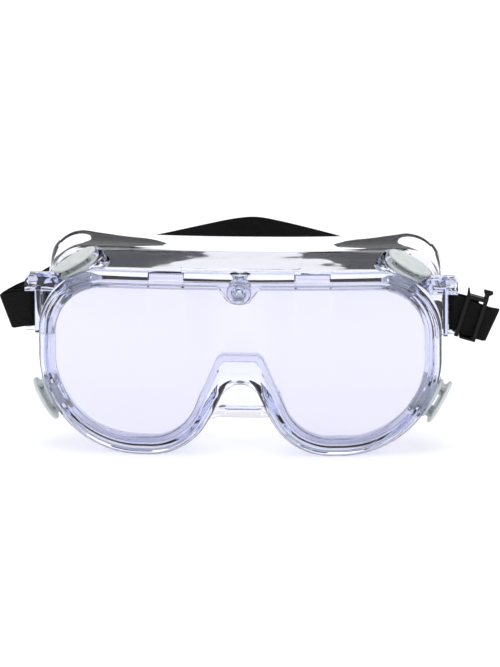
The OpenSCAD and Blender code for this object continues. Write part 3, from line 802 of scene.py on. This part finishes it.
thumb = extrude("thumb", [(SLIDER_L + x, z) for x, z in THUMB], -2.4, -1.2)
spike = lathe("spike", [(0, 0), (0.75, 0), (0.35, 3.4), (0, 3.4)], 20)
place(spike, Matrix.Translation((0.8, -1.6, RAIL_IN + RAIL_W - 0.3))
      @ Matrix.Rotation(math.radians(-SLIDER_TILT), 4, "Y"))
for part in (low_rail, inner_bar, outer_bar, middle_bar, bridge, thumb, spike):
    cut_or_join(slider, part, "UNION")
slider.name = "strap_slider_black"
bevel(slider, 0.22, 2, 40)
place(slider, SLIDER_PLACE)
print("slider faces:", len(slider.data.polygons))

# %% [markdown]
# ## Materials
# Clear plastic is mostly a matter of depth: a thin wall barely tints the light, while an edge that light
# travels along turns blue. Absorption inside the volume does that by itself. The surface gets slight
# waves and soft patches of roughness, as moulded soft plastic has.

# %% Clear plastics


def new_material(name):
    material = bpy.data.materials.new(name)
    material.use_nodes = True
    tree = material.node_tree
    tree.nodes.clear()
    out = tree.nodes.new("ShaderNodeOutputMaterial")
    shader = tree.nodes.new("ShaderNodeBsdfPrincipled")
    tree.links.new(shader.outputs["BSDF"], out.inputs["Surface"])
    return material, tree, shader, out


def object_noise(tree, scale, detail=3.0):
    where = tree.nodes.new("ShaderNodeTexCoord")
    noise = tree.nodes.new("ShaderNodeTexNoise")
    noise.inputs["Scale"].default_value = scale
    noise.inputs["Detail"].default_value = detail
    tree.links.new(where.outputs["Object"], noise.inputs["Vector"])
    return noise


def ramp(tree, source, low, high):
    """A number that runs from low to high with the source."""
    node = tree.nodes.new("ShaderNodeMapRange")
    node.inputs["To Min"].default_value = low
    node.inputs["To Max"].default_value = high
    tree.links.new(source, node.inputs["Value"])
    return node.outputs["Result"]


def colour_by(tree, source, dark, light, dark_at=0.0, light_at=1.0):
    """A colour that runs from dark to light with the source."""
    node = tree.nodes.new("ShaderNodeValToRGB")
    for element, colour, position in zip(node.color_ramp.elements, (dark, light), (dark_at, light_at)):
        element.position = position
        element.color = (*colour, 1)
    tree.links.new(source, node.inputs["Fac"])
    return node.outputs["Color"]


def add_bump(tree, shader, height, strength, distance):
    bump = tree.nodes.new("ShaderNodeBump")
    bump.inputs["Strength"].default_value = strength
    bump.inputs["Distance"].default_value = distance
    tree.links.new(height, bump.inputs["Height"])
    tree.links.new(bump.outputs["Normal"], shader.inputs["Normal"])


def clear_plastic(name, tint, ior, rough, absorb, density, wave):
    material, tree, shader, out = new_material(name)
    shader.inputs["Base Color"].default_value = (*tint, 1)
    shader.inputs["Transmission Weight"].default_value = 1.0
    shader.inputs["IOR"].default_value = ior
    patches = object_noise(tree, 120)
    tree.links.new(ramp(tree, patches.outputs["Fac"], *rough), shader.inputs["Roughness"])
    waves = object_noise(tree, 60, 1.0)
    add_bump(tree, shader, waves.outputs["Fac"], wave, 0.0004)
    if density:
        volume = tree.nodes.new("ShaderNodeVolumeAbsorption")
        volume.inputs["Color"].default_value = (*absorb, 1)
        volume.inputs["Density"].default_value = density
        tree.links.new(volume.outputs["Volume"], out.inputs["Volume"])
    # Shadow rays pass with a slight tint, so that the clear walls throw hardly any shadow.
    light_path = tree.nodes.new("ShaderNodeLightPath")
    let_through = tree.nodes.new("ShaderNodeBsdfTransparent")
    let_through.inputs["Color"].default_value = (0.93, 0.93, 0.97, 1)
    mix = tree.nodes.new("ShaderNodeMixShader")
    tree.links.new(light_path.outputs["Is Shadow Ray"], mix.inputs["Fac"])
    tree.links.new(shader.outputs["BSDF"], mix.inputs[1])
    tree.links.new(let_through.outputs["BSDF"], mix.inputs[2])
    tree.links.new(mix.outputs["Shader"], out.inputs["Surface"])
    return material


soft_pvc = clear_plastic("soft clear PVC", tint=(0.955, 0.958, 0.992), ior=1.45, rough=(0.0, 0.06),
                         absorb=(0.55, 0.60, 0.88), density=36, wave=0.5)
lens_plastic = clear_plastic("lens polycarbonate", tint=(0.75, 0.75, 0.87), ior=1.5, rough=(0.0, 0.02),
                             absorb=(1, 1, 1), density=0, wave=0.05)
hard_clear = clear_plastic("hard clear plastic", tint=(0.965, 0.972, 1.0), ior=1.45, rough=(0.0, 0.05),
                           absorb=(0.50, 0.56, 0.92), density=60, wave=0.15)

# %% Milky plastic of the vents


def milky_plastic():
    material, tree, shader, _ = new_material("milky vent plastic")
    clouds = object_noise(tree, 260, 4.0)
    colour = colour_by(tree, clouds.outputs["Fac"], (0.74, 0.79, 0.78), (0.86, 0.89, 0.89), 0.35, 0.7)
    tree.links.new(colour, shader.inputs["Base Color"])
    tree.links.new(ramp(tree, clouds.outputs["Fac"], 0.28, 0.5), shader.inputs["Roughness"])
    shader.inputs["Transmission Weight"].default_value = 0.35
    shader.inputs["IOR"].default_value = 1.5
    add_bump(tree, shader, clouds.outputs["Fac"], 0.2, 0.0001)
    return material


milky = milky_plastic()

# %% [markdown]
# The webbing's ribs are in its mesh. Its finish adds the crosswise picks of the weave and the slightly
# uneven black of worn elastic. Black goods stay black only if they hardly shine, so gloss is kept low.

# %% Woven elastic and black plastic


def woven_elastic():
    material, tree, shader, _ = new_material("woven black elastic")
    where = tree.nodes.new("ShaderNodeTexCoord")
    picks = tree.nodes.new("ShaderNodeTexWave")
    picks.wave_type = "BANDS"
    picks.bands_direction = "DIAGONAL"
    picks.inputs["Scale"].default_value = 420
    picks.inputs["Distortion"].default_value = 1.2
    picks.inputs["Detail"].default_value = 2
    tree.links.new(where.outputs["Object"], picks.inputs["Vector"])
    fuzz = object_noise(tree, 900, 5.0)
    colour = colour_by(tree, fuzz.outputs["Fac"], (0.002, 0.002, 0.002), (0.012, 0.012, 0.012))
    tree.links.new(colour, shader.inputs["Base Color"])
    tree.links.new(ramp(tree, fuzz.outputs["Fac"], 0.7, 0.95), shader.inputs["Roughness"])
    shader.inputs["Specular IOR Level"].default_value = 0.08
    add_bump(tree, shader, picks.outputs["Fac"], 0.5, 0.0001)
    return material


def black_plastic():
    material, tree, shader, _ = new_material("black slider plastic")
    grain = object_noise(tree, 700, 4.0)
    colour = colour_by(tree, grain.outputs["Fac"], (0.003, 0.003, 0.003), (0.009, 0.009, 0.01))
    tree.links.new(colour, shader.inputs["Base Color"])
    tree.links.new(ramp(tree, grain.outputs["Fac"], 0.3, 0.5), shader.inputs["Roughness"])
    shader.inputs["Specular IOR Level"].default_value = 0.15
    add_bump(tree, shader, grain.outputs["Fac"], 0.15, 0.00005)
    return material


elastic = woven_elastic()
slider_black = black_plastic()
print("materials:", len(bpy.data.materials))

# %% [markdown]
# ## Small repeated items
# Two things repeat: the short ribs moulded across the rim, and the stitches that close the hems of the
# webbing. Both are one Geometry Nodes group: it takes a cloud of points, each with a turn, puts a small
# block on every point, makes the copies real and gives them their material. The result is turned into a
# plain mesh and joined to the piece that it belongs to.

# %% Geometry Nodes group: blocks on points


def blocks_on_points():
    group = bpy.data.node_groups.new("blocks on points", "GeometryNodeTree")
    group.interface.new_socket("Points", in_out="INPUT", socket_type="NodeSocketGeometry")
    group.interface.new_socket("Size", in_out="INPUT", socket_type="NodeSocketVector")
    group.interface.new_socket("Material", in_out="INPUT", socket_type="NodeSocketMaterial")
    group.interface.new_socket("Blocks", in_out="OUTPUT", socket_type="NodeSocketGeometry")
    given, made = group.nodes.new("NodeGroupInput"), group.nodes.new("NodeGroupOutput")
    cube = group.nodes.new("GeometryNodeMeshCube")
    turn = group.nodes.new("GeometryNodeInputNamedAttribute")
    turn.data_type = "FLOAT_VECTOR"
    turn.inputs["Name"].default_value = "turn"
    copies = group.nodes.new("GeometryNodeInstanceOnPoints")
    real = group.nodes.new("GeometryNodeRealizeInstances")
    finish = group.nodes.new("GeometryNodeSetMaterial")
    link = group.links.new
    link(given.outputs["Points"], copies.inputs["Points"])
    link(given.outputs["Size"], cube.inputs["Size"])
    link(cube.outputs["Mesh"], copies.inputs["Instance"])
    link(turn.outputs["Attribute"], copies.inputs["Rotation"])
    link(copies.outputs["Instances"], real.inputs["Geometry"])
    link(real.outputs["Geometry"], finish.inputs["Geometry"])
    link(given.outputs["Material"], finish.inputs["Material"])
    link(finish.outputs["Geometry"], made.inputs["Blocks"])
    return group


BLOCKS = blocks_on_points()


def repeated(name, spots, turns, size, material):
    """Plain mesh of a block of the given size (mm) at each spot (mm), turned by Euler angles."""
    mesh = bpy.data.meshes.new(name)
    mesh.from_pydata([tuple(v * MM for v in spot) for spot in spots], [], [])
    turn = mesh.attributes.new("turn", "FLOAT_VECTOR", "POINT")
    turn.data.foreach_set("vector", np.array(turns, float).ravel())
    piece = add_piece(name, mesh)
    modifier = piece.modifiers.new("blocks", "NODES")
    modifier.node_group = BLOCKS
    values = {"Size": [v * MM for v in size], "Material": material}
    for item in BLOCKS.interface.items_tree:
        if item.name in values:
            modifier[item.identifier] = values[item.name]
    return bake_modifiers(piece)


# %% Ribs on the rim and stitches in the hems
RIB_ANGLES = {(RIM[0], RIM[1], RIM[2]): (31,), (RIM[3], RIM[4], RIM[5]): (-57, -76)}
RIM_RIB_SIZE, RIB_INSET, RIB_SUNK = (4.0, 0.7, 0.35), 4.6, 0.1
rib_spots, rib_turns = [], []
for (centre_x, centre_z, radius), angles in RIB_ANGLES.items():
    for side in (-1, 1):
        for angle in np.radians(angles):
            x = centre_x + (radius - RIB_INSET) * math.cos(angle)
            z = centre_z + (radius - RIB_INSET) * math.sin(angle)
            rib_spots.append((side * x, float(bend(np.array(x))) - RIB_SUNK, z))
            rib_turns.append((0, -angle if side > 0 else angle, 0))
rim_ribs = repeated("rim_ribs", rib_spots, rib_turns, RIM_RIB_SIZE, soft_pvc)

STITCH_SIZE, STITCH_ROWS, STITCH_Y = (0.25, 0.5, 0.95), (94.2, 95.2), 22.9
HEM_X, HEM_DROP, STITCH_TURN = 93, 0.35, 0.2


def hem_stitches(side, centre_z):
    """Two rows of stitches across a hem that slopes down and away from the lug."""
    spots = [(side * x, STITCH_Y, centre_z - (x - HEM_X) * HEM_DROP + k)
             for x in STITCH_ROWS for k in np.linspace(-6, 6, 9)]
    turns = [(0, side * STITCH_TURN, 0)] * len(spots)
    return repeated("hem_stitches", spots, turns, STITCH_SIZE, elastic)


stitches_left, stitches_right = hem_stitches(-1, 58.0), hem_stitches(1, 57.0)
print("ribs:", len(rib_spots), "stitch faces:", len(stitches_left.data.polygons))

# %% [markdown]
# ## Hand over the pieces
# Each visible piece takes its material and hides the imported node it stands for. Most ride on that node's
# body, so that they move when the model's joints move; the headband and the right strap end stay where they
# lie.

# %% Finishes, bodies and the nodes they stand for


def hand_over(piece, material, body, slot, *replaced):
    piece.data.materials.clear()
    piece.data.materials.append(material)
    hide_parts(*replaced)
    if body:
        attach(piece, body)
    return piece


hand_over(join("frame_body_soft", [skirt, rim_ribs]), soft_pvc, "frame", "clear_pvc", "frame_body")
hand_over(lens, lens_plastic, "frame", "clear_lens", "lens")
hand_over(socket, hard_clear, "frame", "clear_hard", "button_socket")
hand_over(button, hard_clear, "button", "clear_hard", "lens_button")
hand_over(lug_left, hard_clear, "frame", "clear_hard", "strap_lug_left")
hand_over(lug_right, hard_clear, "frame", "clear_hard", "strap_lug_right")
for name in VENTS:
    hand_over(vent_pieces["seat_" + name], milky, "frame", "milky_plastic", "vent_seat_" + name)
    hand_over(vent_pieces["cap_" + name], milky, "frame", "milky_plastic", "vent_cap_" + name)
end_left = join("strap_end_webbing_left", [end_left, stitches_left])
hand_over(end_left, elastic, "frame", "elastic", "strap_end_left")
end_right = join("strap_end_webbing_right", [end_right, stitches_right])
hand_over(end_right, elastic, None, "elastic", "strap_end_right")
hand_over(headband, elastic, None, "elastic", "headband")
hand_over(slider, slider_black, "slider", "black_plastic", "strap_slider")
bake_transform(headband)
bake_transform(end_right)
print("pieces handed over")

# %% [markdown]
# ## Stage and light
# A pale floor and big soft lights, as for a catalogue. Clear plastic shows only what surrounds it, so a
# plain white room would hide it. Dark cards at the sides, which the camera doesn't see, draw the thin
# dark lines along the edges.

# %% Floor and world
FLOOR_HALF = 3.0
floor_mesh = bpy.data.meshes.new("floor")
floor_corners = [(x * FLOOR_HALF, y * FLOOR_HALF, 0) for x, y in ((-1, -1), (1, -1), (1, 1), (-1, 1))]
floor_mesh.from_pydata(floor_corners, [], [(0, 1, 2, 3)])
floor = add_piece("floor", floor_mesh)
floor_material, _, floor_shader, _ = new_material("pale floor")
floor_shader.inputs["Base Color"].default_value = (0.93, 0.93, 0.94, 1)
floor_shader.inputs["Roughness"].default_value = 0.6
floor_shader.inputs["Emission Color"].default_value = (1, 1, 1, 1)
floor_shader.inputs["Emission Strength"].default_value = 0.12
floor.data.materials.append(floor_material)

world = bpy.data.worlds.new("studio")
world.use_nodes = True
world.node_tree.nodes["Background"].inputs["Color"].default_value = (1, 1, 1, 1)
world.node_tree.nodes["Background"].inputs["Strength"].default_value = 0.86
bpy.context.scene.world = world

# %% Soft lights and dark cards


def area_light(name, spot, size, power):
    data = bpy.data.lights.new(name, "AREA")
    data.shape = "RECTANGLE"
    data.size, data.size_y = size
    data.energy = power
    lamp = bpy.data.objects.new(name, data)
    bpy.context.scene.collection.objects.link(lamp)
    lamp.location = spot
    lamp.rotation_euler = (-Vector(spot)).to_track_quat("-Z", "Y").to_euler()
    return lamp


area_light("top light", (0, 0.2, 1.0), (1.2, 1.0), 4)
area_light("left light", (-0.9, -0.6, 0.6), (0.6, 0.9), 2.2)
area_light("right light", (0.9, -0.5, 0.5), (0.6, 0.9), 2.2)


CARD_HALF_T = 0.002
BLUE_CARD = (0.10, 0.13, 0.34)


def dark_card(name, centre, width, height, facing, colour):
    """A card that only glossy and clear surfaces see."""
    piece = block(name, (-width / 2, -CARD_HALF_T, -height / 2), (width / 2, CARD_HALF_T, height / 2))
    turned = Vector(facing).to_track_quat("Y", "Z").to_matrix().to_4x4()
    piece.matrix_world = Matrix.Translation(centre) @ turned
    material, _, shader, _ = new_material(name)
    shader.inputs["Base Color"].default_value = (*colour, 1)
    shader.inputs["Specular IOR Level"].default_value = 0.0
    piece.data.materials.append(material)
    piece.visible_camera = False
    piece.visible_diffuse = False
    piece.visible_shadow = False
    return piece


dark_card("card above the camera", (0, -0.9, 0.75), 0.9, 0.25, (0, 0.75, -0.6), (0.05, 0.06, 0.12))
behind = dark_card("card behind", (0, 1.6, 0.85), 3.0, 0.75, (0, -1.6, -0.45), (0.02, 0.02, 0.03))
behind.visible_transmission = False
dark_card("card at the left", (-0.8, -0.1, 0.25), 0.5, 0.35, (1, 0, 0), BLUE_CARD)
dark_card("card at the right", (0.8, -0.1, 0.25), 0.5, 0.35, (-1, 0, 0), BLUE_CARD)
bpy.context.scene.view_settings.view_transform = "Standard"
print("stage ready")

# %% [markdown]
# ## Last update
# The view layer is brought up to date.

# %% Last update
bpy.context.view_layer.update()
